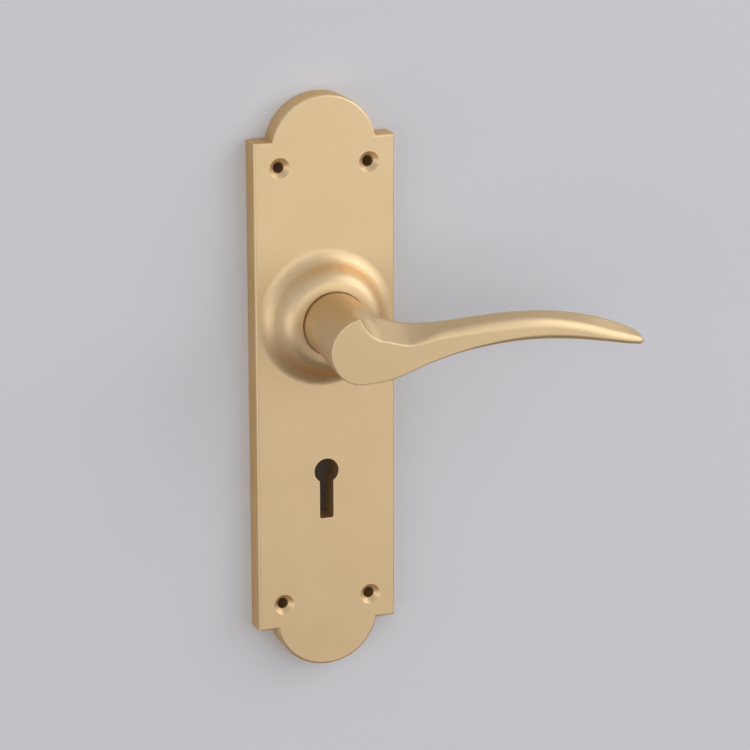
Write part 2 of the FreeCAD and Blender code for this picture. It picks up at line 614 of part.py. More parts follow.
def cover_plate():
    """Thin steel disc over the works, flush with the door face."""
    cover = ring(COVER_HOLE_R, COVER_R, COVER_Y, 0)
    for degrees in COVER_SCREW_ANGLES:
        x, z = polar(COVER_SCREW_CENTRE_R, degrees)
        cover = cover.cut(cover_screw(x, z, COVER_SCREW_R))
    return cover


PIECES = {
    "backplate": backplate,
    "lever_handle": lever_handle,
    "neck_bush": neck_bush,
    "thrust_washer": thrust_washer,
    "spring_cup": spring_cup,
    "return_spring": return_spring,
    "cam_plate": cam_plate,
    "stop_pins": stop_pins,
    "wave_washer": wave_washer,
    "retaining_ring": retaining_ring,
    "cover_plate": cover_plate,
    "cover_screws": cover_screws,
}

os.makedirs("parts", exist_ok=True)
for name, build in PIECES.items():
    shape = build()
    print(name, "valid", shape.isValid(), "solids", len(shape.Solids), "volume", round(shape.Volume, 1))
    shape.exportStep("parts/" + name + ".step")
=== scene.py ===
import logging
import math
from dataclasses import dataclass, field
from enum import Enum
from typing import Callable

import bmesh
import bpy
import numpy as np
from mathutils import Matrix, Vector


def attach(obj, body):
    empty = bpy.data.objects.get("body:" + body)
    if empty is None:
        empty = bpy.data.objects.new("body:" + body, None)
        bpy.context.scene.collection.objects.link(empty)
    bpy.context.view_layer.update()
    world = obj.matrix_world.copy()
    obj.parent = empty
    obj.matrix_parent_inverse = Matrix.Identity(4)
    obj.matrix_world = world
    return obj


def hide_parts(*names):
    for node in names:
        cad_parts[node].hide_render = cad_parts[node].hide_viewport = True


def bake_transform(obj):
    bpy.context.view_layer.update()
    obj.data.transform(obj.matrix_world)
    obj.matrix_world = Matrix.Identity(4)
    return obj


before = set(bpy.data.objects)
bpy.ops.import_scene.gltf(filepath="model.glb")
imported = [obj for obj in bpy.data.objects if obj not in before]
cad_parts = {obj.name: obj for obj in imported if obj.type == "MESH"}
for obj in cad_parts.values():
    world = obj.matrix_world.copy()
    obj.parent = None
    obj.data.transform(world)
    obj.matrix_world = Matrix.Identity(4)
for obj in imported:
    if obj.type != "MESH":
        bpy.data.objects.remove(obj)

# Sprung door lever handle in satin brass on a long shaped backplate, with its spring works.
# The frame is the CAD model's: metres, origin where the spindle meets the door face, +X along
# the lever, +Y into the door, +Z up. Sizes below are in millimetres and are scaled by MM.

MM = 0.001
TINY = 1e-6                    # keeps a division away from nothing
SLIDES = 4                     # steps that bring a net's points on to the surface
LEAST_SLOPE = 0.05             # least squared slope that a slide divides by
WELD = 2e-6                    # metres between corners that are one corner
SCREW_X = 16.5                 # fixing holes beside the plate's middle
LOG = logging.getLogger("door_lever")
Points = np.ndarray
Sampler = Callable[[np.ndarray, np.ndarray, np.ndarray], np.ndarray]


# ---- shapes worked out as whole arrays ----
@dataclass(frozen=True)
class Guide:
    """A smooth line through a few points, such as the lever's top edge.

    Attributes:
        points: Pairs of (distance along the lever, value), in millimetres.
    """

    points: tuple[tuple[float, float], ...]

    def at(self, place: np.ndarray) -> np.ndarray:
        """Value of the line: a cubic Hermite curve whose slopes are its neighbours' chords.

        Args:
            place: Distances along the lever.

        Returns:
            The line's value at each distance, held level beyond its ends.
        """
        x, v = np.array(self.points, float).T
        last = len(x) - 1
        low = np.clip(np.arange(last + 1) - 1, 0, last)
        high = np.clip(np.arange(last + 1) + 1, 0, last)
        slope = (v[high] - v[low]) / (x[high] - x[low])
        inside = np.clip(place, x[0], x[last])
        k = np.clip(np.searchsorted(x, inside, side="right") - 1, 0, last - 1)
        span = x[k + 1] - x[k]
        t = (inside - x[k]) / span
        near = (2 * t ** 3 - 3 * t ** 2 + 1) * v[k] + (t ** 3 - 2 * t ** 2 + t) * span * slope[k]
        far = (3 * t ** 2 - 2 * t ** 3) * v[k + 1] + (t ** 3 - t ** 2) * span * slope[k + 1]
        return near + far


def rounded_overlap(a: np.ndarray, b: np.ndarray, radius: np.ndarray | float) -> np.ndarray:
    """Signed distance to what two solids share, with a round along their edge.

    Away from the edge it is the larger of the two distances; near it, the length of the
    pair (a + radius, b + radius) less the radius.

    Args:
        a: Signed distance to the first solid, negative inside.
        b: Signed distance to the second solid.
        radius: Size of the round.

    Returns:
        The combined signed distance.
    """
    return np.minimum(-radius, np.maximum(a, b)) + np.hypot(
        np.maximum(radius + a, 0), np.maximum(radius + b, 0))


def rounded_union(a: np.ndarray, b: np.ndarray, radius: np.ndarray | float) -> np.ndarray:
    """Signed distance to two solids joined with a fillet of the given radius."""
    return -rounded_overlap(-a, -b, radius)


def level_surface(solid: Sampler, low: Points, high: Points,
                  step: float) -> tuple[Points, Points]:
    """Closed surface where a signed distance is zero, as a net of four-sided faces.

    Every grid cell that the surface crosses holds one point, the mean of the crossings on its
    edges, and every grid edge that the surface crosses holds one face between its four cells.
    The points are then slid along the gradient on to the surface.

    Args:
        solid: Signed distance as a function of x, y and z arrays.
        low: Lowest corner of the space searched.
        high: Highest corner of the space searched.
        step: Grid spacing.

    Returns:
        The points and the faces.
    """
    axes = [np.arange(low[k], high[k] + step, step) for k in range(3)]
    x, y, z = np.meshgrid(*axes, indexing="ij", sparse=True)
    value = np.broadcast_to(solid(x, y, z), [len(a) for a in axes])
    inside = value < 0
    shape = [n - 1 for n in value.shape]
    corner = [(i, j, k) for i in (0, 1) for j in (0, 1) for k in (0, 1)]

    def at_corner(array: np.ndarray, c: tuple[int, int, int]) -> np.ndarray:
        """The array's values at one corner of every cell."""
        return array[c[0]:c[0] + shape[0], c[1]:c[1] + shape[1], c[2]:c[2] + shape[2]]

    count = sum(at_corner(inside, c).astype(np.int8) for c in corner)
    mixed = (count > 0) & (count < 8)
    index = np.full(shape, -1)
    index[mixed] = np.arange(mixed.sum())
    cell = np.argwhere(mixed)
    total = np.zeros((len(cell), 3))
    crossings = np.zeros(len(cell))
    for c in corner:
        for axis in range(3):
            if c[axis]:
                continue
            far = tuple(c[k] + (k == axis) for k in range(3))
            a = at_corner(value, c)[mixed]
            b = at_corner(value, far)[mixed]
            crossed = (a < 0) != (b < 0)
            share = np.where(crossed, a / np.where(crossed, a - b, 1), 0)
            place = np.tile(np.array(c, float), (len(cell), 1))
            place[:, axis] = share
            total += place * crossed[:, None]
            crossings += crossed
    points = np.array(low) + (cell + total / crossings[:, None]) * step
    faces = []
    for axis in range(3):
        order = (axis, (axis + 1) % 3, (axis + 2) % 3)
        sign = np.transpose(inside, order)[:, 1:-1, 1:-1]
        cells = np.transpose(index, order)
        around = (cells[:, :-1, :-1], cells[:, 1:, :-1], cells[:, 1:, 1:], cells[:, :-1, 1:])
        quad = np.stack(around, -1)
        outward = sign[:-1] & ~sign[1:]
        inward = ~sign[:-1] & sign[1:]
        faces.append(quad[outward])
        faces.append(quad[inward][:, ::-1])
    for _ in range(SLIDES):
        reach = solid(*points.T)[:, None]
        slope = gradient(solid, points)
        square = np.maximum((slope ** 2).sum(1, keepdims=True), LEAST_SLOPE)
        points = points - np.clip(reach / square, -step / 2, step / 2) * slope
    return points, np.concatenate(faces)


def gradient(solid: Sampler, points: Points, reach: float = 0.02) -> Points:
    """Slope of a signed distance at points, from differences over twice the reach."""
    columns = []
    for axis in range(3):
        shift = np.zeros(3)
        shift[axis] = reach
        columns.append((solid(*(points + shift).T) - solid(*(points - shift).T)) / (2 * reach))
    return np.stack(columns, -1)


def grid_faces(rows: int, columns: int, closed: bool) -> Points:
    """Four-sided faces of a grid of points, wound so that rows x columns points outwards.

    Args:
        rows: Number of rows, which never close on themselves.
        columns: Number of points in a row.
        closed: Whether the last column joins the first.

    Returns:
        An array of faces, each of four point numbers.
    """
    across = np.arange(columns if closed else columns - 1)
    after = (across + 1) % columns
    down = np.arange(rows - 1)[:, None] * columns
    below = down + columns
    return np.stack([down + across, down + after, below + after, below + across], -1).reshape(-1, 4)


def tube_faces(rows: int, columns: int) -> list[tuple[int, ...]]:
    """Faces of a closed tube whose first and last rows shut on the two points after the grid."""
    first = rows * columns
    across = np.arange(columns)
    after = (across + 1) % columns
    lid = [(first, int(b), int(a)) for a, b in zip(across, after)]
    base = (rows - 1) * columns
    end = [(first + 1, int(base + a), int(base + b)) for a, b in zip(across, after)]
    return [tuple(int(i) for i in f) for f in grid_faces(rows, columns, True)] + lid + end


def smooth_step(value: np.ndarray, start: float, end: float) -> np.ndarray:
    """Rises from 0 at start to 1 at end along a cubic."""
    t = np.clip((value - start) / (end - start), 0, 1)
    return t * t * (3 - 2 * t)


@dataclass
class Surface:
    """Points, faces and, where they are known, exact normals of one piece, in millimetres."""

    points: Points
    faces: list[tuple[int, ...]] | Points
    normals: Points | None = None

    def piece(self, name: str, material: bpy.types.Material,
              sharp: float = 30.0) -> bpy.types.Object:
        """Makes the object, in metres.

        Args:
            name: Name of the piece.
            material: Its finish.
            sharp: Edges that turn by more than this many degrees are kept crisp.

        Returns:
            The new object, at the origin.
        """
        mesh = bpy.data.meshes.new(name)
        faces = self.faces if isinstance(self.faces, list) else self.faces.tolist()
        mesh.from_pydata((self.points * MM).tolist(), [], faces)
        mesh.validate()
        mesh.shade_smooth()
        if self.normals is not None:
            mesh.normals_split_custom_set_from_vertices(self.normals.tolist())
        else:
            mesh.set_sharp_from_angle(angle=math.radians(sharp))
        obj = bpy.data.objects.new(name, mesh)
        bpy.context.scene.collection.objects.link(obj)
        mesh.materials.append(material)
        return obj


def merged_copy(node: str, name: str, material: bpy.types.Material,
                sharp: float = 28.0) -> bpy.types.Object:
    """A copy of a CAD node's mesh with its triangles joined and its flat faces shaded flat.

    Args:
        node: Name of the CAD node.
        name: Name of the new piece.
        material: Its finish.
        sharp: Edges that turn by more than this many degrees are kept crisp.

    Returns:
        The new object, at the origin.
    """
    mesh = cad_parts[node].data.copy()
    mesh.name = name
    work = bmesh.new()
    work.from_mesh(mesh)
    bmesh.ops.remove_doubles(work, verts=work.verts, dist=WELD)
    bmesh.ops.dissolve_degenerate(work, edges=work.edges, dist=WELD / 4)
    work.to_mesh(mesh)
    work.free()
    for old in ("custom_normal", "sharp_edge", "sharp_face"):
        if old in mesh.attributes:
            mesh.attributes.remove(mesh.attributes[old])
    mesh.shade_smooth()
    mesh.set_sharp_from_angle(angle=math.radians(sharp))
    mesh.materials.clear()
    mesh.materials.append(material)
    obj = bpy.data.objects.new(name, mesh)
    bpy.context.scene.collection.objects.link(obj)
    weighted = obj.modifiers.new("flat faces lead", "WEIGHTED_NORMAL")
    weighted.keep_sharp = True
    weighted.weight = 100
    return obj


# ---- finishes ----
class Grain(Enum):
    """Which way a finish's fine lines run."""

    UPRIGHT = (1.0, 1.0, 0.05)
    ALONG_LEVER = (0.05, 1.0, 1.0)
    EVEN = (1.0, 1.0, 1.0)


class Sheet:
    """A small helper that adds and links shader nodes in one tree."""

    def __init__(self, tree: bpy.types.NodeTree) -> None:
        """Keeps the tree."""
        self.tree = tree

    def add(self, kind: str, **values: object) -> bpy.types.Node:
        """Adds a node and sets its properties by name."""
        node = self.tree.nodes.new(kind)
        for name, value in values.items():
            setattr(node, name, value)
        return node

    def link(self, source: bpy.types.NodeSocket, target: bpy.types.NodeSocket) -> None:
        """Joins two sockets."""
        self.tree.links.new(source, target)

    def math(self, operation: str, a: object, b: object = 0.0,
             c: object = 0.0) -> bpy.types.NodeSocket:
        """One Math node whose inputs are sockets or numbers.

        Args:
            operation: The Math node's operation.
            a: First input.
            b: Second input.
            c: Third input.

        Returns:
            The node's output.
        """
        node = self.add("ShaderNodeMath", operation=operation)
        for socket, value in zip(node.inputs, (a, b, c)):
            if isinstance(value, bpy.types.NodeSocket):
                self.link(value, socket)
            else:
                socket.default_value = value
        return node.outputs[0]

    def noise(self, place: bpy.types.NodeSocket, scale: float,
              detail: float = 3.0) -> bpy.types.NodeSocket:
        """Noise from 0 to 1 at the given number of cells in a metre."""
        node = self.add("ShaderNodeTexNoise")
        node.inputs["Scale"].default_value = scale
        node.inputs["Detail"].default_value = detail
        self.link(place, node.inputs["Vector"])
        return node.outputs["Fac"]

    def mix(self, a: object, b: object, share: bpy.types.NodeSocket) -> bpy.types.NodeSocket:
        """The colour between two, each of which is a socket or a linear colour."""
        node = self.add("ShaderNodeMix", data_type="RGBA")
        for name, value in (("A", a), ("B", b)):
            if isinstance(value, bpy.types.NodeSocket):
                self.link(value, node.inputs[name])
            else:
                node.inputs[name].default_value = (*value, 1)
        self.link(share, node.inputs["Factor"])
        return node.outputs["Result"]

    def bump(self, height: bpy.types.NodeSocket, distance: float) -> bpy.types.NodeSocket:
        """The normal that a height gives over the given distance in metres."""
        node = self.add("ShaderNodeBump")
        node.inputs["Distance"].default_value = distance
        node.inputs["Strength"].default_value = 1.0
        self.link(height, node.inputs["Height"])
        return node.outputs["Normal"]

    def skin(self, skin: bpy.types.NodeTree, grain: Grain) -> bpy.types.Node:
        """The shared skin, placed on the object and stretched along its grain."""
        node = self.add("ShaderNodeGroup", node_tree=skin)
        node.inputs["Stretch"].default_value = grain.value
        coords = self.add("ShaderNodeTexCoord")
        self.link(coords.outputs["Object"], node.inputs["Place"])
        return node


def new_material(name: str) -> tuple[bpy.types.Material, Sheet, bpy.types.Node]:
    """A new material.

    Args:
        name: Its name.

    Returns:
        The material, its sheet of nodes and its main shader.
    """
    material = bpy.data.materials.new(name)
    material.use_nodes = True
    tree = material.node_tree
    return material, Sheet(tree), tree.nodes["Principled BSDF"]


@dataclass(frozen=True)
class SkinRecipe:
    """How strong each part of the shared skin is."""

    pore_scale: float = 2600.0     # pores in a metre
    edge_gain: float = 9.0         # how soon a bend shows as a rubbed edge
    edge_patch: float = 1.2        # how far the clouds break the rubbed edge up
    edge_floor: float = 0.2
    line_tone: float = 0.35        # the lines' share of the tone
    line_rough: float = 0.6        # and of the roughness
    pore_height: float = 0.4       # the pores' share of the height


def metal_skin_group(recipe: SkinRecipe = SkinRecipe()) -> bpy.types.NodeTree:
    """Shared skin of a worked piece: fine lines, cloudy polish, pores and rubbed edges.

    Inputs place and stretch the pattern. Outputs are a mask for the tone, a roughness offset,
    a height for a bump and the mask of rubbed edges.

    Args:
        recipe: Strength of each effect.

    Returns:
        The node group.
    """
    group = bpy.data.node_groups.new("metal_skin", "ShaderNodeTree")
    face = group.interface
    face.new_socket("Place", in_out="INPUT", socket_type="NodeSocketVector")
    face.new_socket("Stretch", in_out="INPUT", socket_type="NodeSocketVector")
    for name, value in (("Line Scale", 9000.0), ("Cloud Scale", 40.0), ("Edge Width", 0.0005)):
        socket = face.new_socket(name, in_out="INPUT", socket_type="NodeSocketFloat")
        socket.default_value = value
    for name in ("Tone", "Rough", "Height", "Edge"):
        face.new_socket(name, in_out="OUTPUT", socket_type="NodeSocketFloat")
    sheet = Sheet(group)
    given = sheet.add("NodeGroupInput").outputs
    result = sheet.add("NodeGroupOutput").inputs

    stretched = sheet.add("ShaderNodeVectorMath", operation="MULTIPLY")
    sheet.link(given["Place"], stretched.inputs[0])
    sheet.link(given["Stretch"], stretched.inputs[1])
    lines = sheet.add("ShaderNodeTexNoise")
    lines.inputs["Detail"].default_value = 2.0
    sheet.link(stretched.outputs[0], lines.inputs["Vector"])
    sheet.link(given["Line Scale"], lines.inputs["Scale"])

    clouds = sheet.add("ShaderNodeTexNoise")
    clouds.inputs["Detail"].default_value = 4.0
    sheet.link(given["Place"], clouds.inputs["Vector"])
    sheet.link(given["Cloud Scale"], clouds.inputs["Scale"])
    pores = sheet.noise(given["Place"], recipe.pore_scale, 2.0)

    rounded = sheet.add("ShaderNodeBevel", samples=4)
    sheet.link(given["Edge Width"], rounded.inputs["Radius"])
    facing = sheet.add("ShaderNodeVectorMath", operation="DOT_PRODUCT")
    sheet.link(rounded.outputs[0], facing.inputs[0])
    sheet.link(sheet.add("ShaderNodeNewGeometry").outputs["Normal"], facing.inputs[1])
    bend = sheet.math("SUBTRACT", 1.0, facing.outputs["Value"])
    broken = sheet.math("MULTIPLY_ADD", clouds.outputs["Fac"], recipe.edge_patch, recipe.edge_floor)
    patchy = sheet.math("MULTIPLY", sheet.math("MULTIPLY", bend, recipe.edge_gain), broken)
    edge = sheet.math("MINIMUM", patchy, 1.0)

    grain = sheet.math("SUBTRACT", lines.outputs["Fac"], 0.5)
    cloud = sheet.math("SUBTRACT", clouds.outputs["Fac"], 0.5)
    sheet.link(sheet.math("MULTIPLY_ADD", grain, recipe.line_tone, cloud), result["Tone"])
    sheet.link(sheet.math("MULTIPLY_ADD", grain, recipe.line_rough, cloud), result["Rough"])
    height = sheet.math("MULTIPLY_ADD", pores, recipe.pore_height, lines.outputs["Fac"])
    sheet.link(height, result["Height"])
    sheet.link(edge, result["Edge"])
    return group


@dataclass(frozen=True)
class MetalFinish:
    """A metal with its worked skin.

    Attributes:
        name: Name of the material.
        light: Colour where the polish is bright, linear.
        deep: Colour in the duller clouds, linear.
        worn: Colour of rubbed edges, linear.
        roughness: Mean roughness.
        variation: How far the roughness wanders.
        bump: Height of the fine lines, in metres.
        grain: Which way the lines run.
        edge_width: Width of the rubbed edges, in metres.
        grazing: Tint of reflections that skim the surface, linear.
        tone_gain: How strongly the skin's tone moves between deep and light.
        tone_level: Where it rests between them.
        edge_gloss: Added to the roughness on rubbed edges.
    """

    name: str
    light: tuple[float, float, float]
    deep: tuple[float, float, float]
    worn: tuple[float, float, float]
    roughness: float
    variation: float
    bump: float
    grain: Grain
    edge_width: float = 0.0006
    grazing: tuple[float, float, float] = (1.0, 1.0, 1.0)
    tone_gain: float = 2.2
    tone_level: float = 0.6
    edge_gloss: float = -0.06

    def build(self, skin: bpy.types.NodeTree) -> bpy.types.Material:
        """Makes the material.

        Args:
            skin: The shared metal skin group.

        Returns:
            The material.
        """
        material, sheet, shader = new_material(self.name)
        group = sheet.skin(skin, self.grain)
        group.inputs["Edge Width"].default_value = self.edge_width
        share = sheet.math("MULTIPLY_ADD", group.outputs["Tone"], self.tone_gain, self.tone_level)
        tone = sheet.mix(self.deep, self.light, share)
        rubbed = sheet.mix(tone, self.worn, group.outputs["Edge"])
        sheet.link(rubbed, shader.inputs["Base Color"])
        wander = sheet.math("MULTIPLY_ADD", group.outputs["Rough"], self.variation, self.roughness)
        rough = sheet.math("MULTIPLY_ADD", group.outputs["Edge"], self.edge_gloss, wander)
        sheet.link(rough, shader.inputs["Roughness"])
        shader.inputs["Metallic"].default_value = 1.0
        shader.inputs["Specular Tint"].default_value = (*self.grazing, 1)
        sheet.link(sheet.bump(group.outputs["Height"], self.bump), shader.inputs["Normal"])
        return material


@dataclass(frozen=True)
class NylonFinish:
    """Moulded nylon: creamy and dull, with a faint mould texture."""

    name: str = "moulded_nylon"
    light: tuple[float, float, float] = (0.80, 0.77, 0.69)
    deep: tuple[float, float, float] = (0.70, 0.66, 0.56)
    roughness: float = 0.5
    variation: float = 0.2
    gloss: float = 0.45
    bump: float = 0.00001
    tone_gain: float = 2.0
    tone_level: float = 0.5

    def build(self, skin: bpy.types.NodeTree) -> bpy.types.Material:
        """Makes the material from the shared skin's clouds and pores.

        Args:
            skin: The shared skin group.

        Returns:
            The material.
        """
        material, sheet, shader = new_material(self.name)
        group = sheet.skin(skin, Grain.EVEN)
        share = sheet.math("MULTIPLY_ADD", group.outputs["Tone"], self.tone_gain, self.tone_level)
        sheet.link(sheet.mix(self.deep, self.light, share), shader.inputs["Base Color"])
        rough = sheet.math("MULTIPLY_ADD", group.outputs["Rough"], self.variation, self.roughness)
        sheet.link(rough, shader.inputs["Roughness"])
        shader.inputs["Specular IOR Level"].default_value = self.gloss
        sheet.link(sheet.bump(group.outputs["Height"], self.bump), shader.inputs["Normal"])
        return material


@dataclass
class Finishes:
    """Every finish on the handle, built once."""

    skin: bpy.types.NodeTree = field(default_factory=metal_skin_group)

    def __post_init__(self) -> None:
        """Builds the materials."""
        worn = (0.86, 0.70, 0.46)
        self.plate_brass = MetalFinish(
            "satin_brass_plate", light=(0.78, 0.60, 0.36), deep=(0.72, 0.54, 0.31), worn=worn,
            roughness=0.5, variation=0.12, bump=0.0000035, grain=Grain.UPRIGHT,
            grazing=(1.0, 0.68, 0.38)).build(self.skin)
        self.lever_brass = MetalFinish(
            "satin_brass_lever", light=(0.72, 0.555, 0.335), deep=(0.665, 0.50, 0.29), worn=worn,
            roughness=0.5, variation=0.12, bump=0.0000035, grain=Grain.ALONG_LEVER,
            grazing=(1.0, 0.92, 0.8)).build(self.skin)
        self.bronze = MetalFinish(
            "sintered_bronze", (0.62, 0.40, 0.22), (0.48, 0.29, 0.15), (0.72, 0.50, 0.30),
            0.42, 0.2, 0.000006, Grain.EVEN).build(self.skin)
        self.plated = MetalFinish(
            "zinc_plated_steel", (0.66, 0.66, 0.63), (0.52, 0.53, 0.52), (0.78, 0.78, 0.76),
            0.34, 0.22, 0.000005, Grain.EVEN).build(self.skin)
        self.spring_steel = MetalFinish(
            "oiled_spring_steel", (0.36, 0.36, 0.37), (0.22, 0.22, 0.24), (0.55, 0.55, 0.56),
            0.28, 0.18, 0.000003, Grain.EVEN).build(self.skin)
        self.screw_steel = MetalFinish(
            "screw_steel", (0.58, 0.58, 0.58), (0.42, 0.42, 0.43), (0.74, 0.74, 0.74),
            0.3, 0.2, 0.000003, Grain.EVEN).build(self.skin)
        self.nylon = NylonFinish().build(self.skin)


# ---- lever ----
@dataclass
class LeverHandle:
    """Neck, head and curved grip in one casting, with the turned spigot behind it."""

    neck_radius: float = 11.3
    neck_back: float = -11.9       # shoulder on the thrust washer
    head_start: float = -24.0      # the straight neck ends here
    flat: float = -46.0            # flat on the front of the head
    head_shift: float = 1.0        # head's centre beside the neck's, at the flat
    head_drop: float = 3.2         # and below it
    head_swell: float = 0.5        # head's radius beyond the neck's, at the flat
    lean_round: float = 0.6        # softness of the bend between neck and head
    arm_start: float = 1.0
    arm_reach: float = 110.4
    tip_round: float = 3.0
    back_lift: float = 0.16        # back corner above the bottom, share of the height
    crease_round: float = 0.3
    scoop_soft: float = 2.0        # how much softer the scoop's rim is behind the flat
    scoop_fade: float = 4.5        # depth over which it softens
    edge_round: float = 0.3        # along the flat's round edge
    front_fillet: float = 0.25     # where arm and head meet, at the flat
    back_fillet: float = 2.5       # and behind
    shoulder_round: float = 0.3    # along the shoulder on the washer
    upper_blend: tuple[float, float] = (0.3, 0.6)      # share of the depth, front to back round
    scoop_join: tuple[float, float] = (6.0, 10.0)      # along x, where the scoop meets the grip
    scoop_limits: tuple[float, float] = (-0.4, 3.0)    # shares of the depth that its face spans
    scoop_nudge: float = 0.05      # step that measures its slope
    crease_depth: float = 0.3      # behind the flat, where its rim starts to soften
    fillet_depth: tuple[float, float] = (4.0, 10.0)    # behind the flat, to the full fillet
    fillet_along: tuple[float, float] = (3.0, 9.0)     # along x, to the full fillet
    fillet_height: tuple[float, float] = (-4.0, 2.0)   # along z, from the full fillet to none
    net_step: float = 0.38
    top: Guide = Guide(((0, 6.6), (4, 7.6), (8, 7.9), (16, 5.5), (24, 4.0), (34, 3.6), (48, 4.4),
                        (62, 4.6), (76, 3.5), (90, 0.6), (101, -3.5), (111, -9.0)))
    ridge: Guide = Guide(((0, -0.6), (8, -0.2), (13, -1.5), (19, -2.3), (30, 0.6), (44, 2.2),
                          (58, 2.6), (70, 1.6), (84, -2.0), (97, -6.6), (111, -10.6)))
    bottom: Guide = Guide(((0, -14.6), (8, -14.8), (16, -12.9), (26, -9.5), (38, -6.9), (52, -5.5),
                           (66, -5.6), (80, -7.1), (94, -9.7), (104, -11.8), (111, -12.8)))
    front: Guide = Guide(((0, 0.0), (50, 0.0), (66, 0.4), (80, 1.4), (95, 3.1), (111, 5.8)))
    back: Guide = Guide(((0, 12.0), (20, 11.4), (45, 10.4), (70, 10.0), (90, 10.3), (111, 11.4)))
    ridge_round: Guide = Guide(((0, 0.5), (18, 0.5), (34, 2.6), (62, 3.0), (85, 2.0), (111, 1.2)))
    toe_round: Guide = Guide(((0, 0.5), (24, 0.5), (44, 1.4), (70, 2.4), (111, 1.5)))
    arm_round: Guide = Guide(((0, 3.0), (30, 3.4), (70, 3.2), (111, 1.9)))
    scoop_front: Guide = Guide(((-4, 16.4), (-1.4, 10.4), (-0.4, 8.3), (2, 4.3), (5, 1.4), (8, 0.0),
                                (12, -1.2), (19, -2.3)))
    scoop_back: Guide = Guide(((-4, 24.0), (-1.4, 19.0), (2, 13.6), (6, 10.2), (9, 8.2),
                               (13, 6.3), (19, 4.6)))

    def arm(self, x: np.ndarray, y: np.ndarray, z: np.ndarray) -> np.ndarray:
        """Signed distance to the grip.

        At each place along the lever the grip is what four sloping planes leave, with a round
        at each of its four corners: the front, the upper face, the back and the under face.

        Args:
            x: Places along the lever.
            y: Depths.
            z: Heights.

        Returns:
            The signed distance, negative inside.
        """
        front = self.flat + self.front.at(x)
        back = self.flat + self.back.at(x)
        top, ridge, bottom = self.top.at(x), self.ridge.at(x), self.bottom.at(x)
        heel = bottom + self.back_lift * (top - bottom)

        def side(y0: np.ndarray, z0: np.ndarray, y1: np.ndarray, z1: np.ndarray) -> np.ndarray:
            """Distance outside the line from one corner to the next, going clockwise."""
            length = np.hypot(y1 - y0, z1 - z0)
            return ((z - z0) * (y1 - y0) - (y - y0) * (z1 - z0)) / length

        face = front - y
        upper = side(front, ridge, back, top)
        behind = y - back
        under = side(back, heel, front, bottom)
        soft = self.arm_round.at(x)
        fore = rounded_overlap(face, under, self.toe_round.at(x))
        aft = rounded_overlap(behind, upper, soft)
        first, last = self.upper_blend
        ahead = smooth_step(y, front + first * (back - front), front + last * (back - front))
        body = rounded_overlap(fore, aft, self.ridge_round.at(x) * (1 - ahead) + soft * ahead)
        body = np.maximum(body, self.arm_start - x)
        return rounded_overlap(body, x - self.arm_reach, self.tip_round)

    def head(self, x: np.ndarray, y: np.ndarray, z: np.ndarray) -> np.ndarray:
        """Signed distance to the neck and the column that leans down from it, less the scoop.

        The column's centre and radius move evenly from the neck's to the flat's, with a soft
        start. The scoop takes whatever is above a face that rises from its front line to its
        back line, and its rim softens behind the flat.

        Args:
            x: Places along the lever.
            y: Depths.
            z: Heights.

        Returns:
            The signed distance, negative inside.
        """
        ahead = (self.head_start - y) / self.lean_round
        run = self.lean_round * np.logaddexp(0, ahead)
        share = run / (self.head_start - self.flat)
        radius = self.neck_radius + self.head_swell * share
        column = np.hypot(x - self.head_shift * share, z + self.head_drop * share) - radius
        rise = np.clip((y - self.flat) / self.back.at(x), *self.scoop_limits)
        joined = smooth_step(x, *self.scoop_join)
        low = self.scoop_front.at(x) * (1 - joined) + self.ridge.at(x) * joined
        high = self.scoop_back.at(x) * (1 - joined) + self.top.at(x) * joined
        face = z - (low + (high - low) * rise)
        nudge = self.scoop_nudge
        slope_x = (self.scoop_front.at(x + nudge) - self.scoop_front.at(x - nudge)) / (2 * nudge)
        slope_y = (high - low) / self.back.at(x)
        face = face / np.sqrt(1 + slope_x ** 2 + slope_y ** 2)
        behind = smooth_step(y, self.flat + self.crease_depth, self.flat + self.scoop_fade)
        soft = self.crease_round + self.scoop_soft * behind
        column = rounded_overlap(column, face, soft)
        return rounded_overlap(column, self.flat - y, self.edge_round)

    def solid(self, x: np.ndarray, y: np.ndarray, z: np.ndarray) -> np.ndarray:
        """Signed distance to the whole casting: head and arm joined, then cut at the flat.

        Args:
            x: Places along the lever.
            y: Depths.
            z: Heights.

        Returns:
            The signed distance, negative inside.
        """
        start, stop = self.fillet_depth
        behind = smooth_step(y, self.flat + start, self.flat + stop)
        behind = behind * smooth_step(x, *self.fillet_along)
        below = 1 - smooth_step(z, *self.fillet_height)
        fillet = self.front_fillet + (self.back_fillet - self.front_fillet) * behind * below
        body = rounded_union(self.head(x, y, z), self.arm(x, y, z), fillet)
        body = np.maximum(body, self.flat - y)
        return rounded_overlap(body, y - self.neck_back, self.shoulder_round)

    def casting(self) -> Surface:
        """The casting's skin, with the normals of the signed distance itself.

        Returns:
            The skin.
        """
        low = np.array([-self.neck_radius - 2, self.flat - 1, -self.neck_radius - 6])
        high = np.array([self.arm_reach + 1, self.neck_back + 1, self.neck_radius + 2])
        points, faces = level_surface(self.solid, low, high, self.net_step)
        normals = gradient(self.solid, points)
        normals /= np.maximum(np.linalg.norm(normals, axis=1, keepdims=True), TINY)
        return Surface(points, faces, normals)


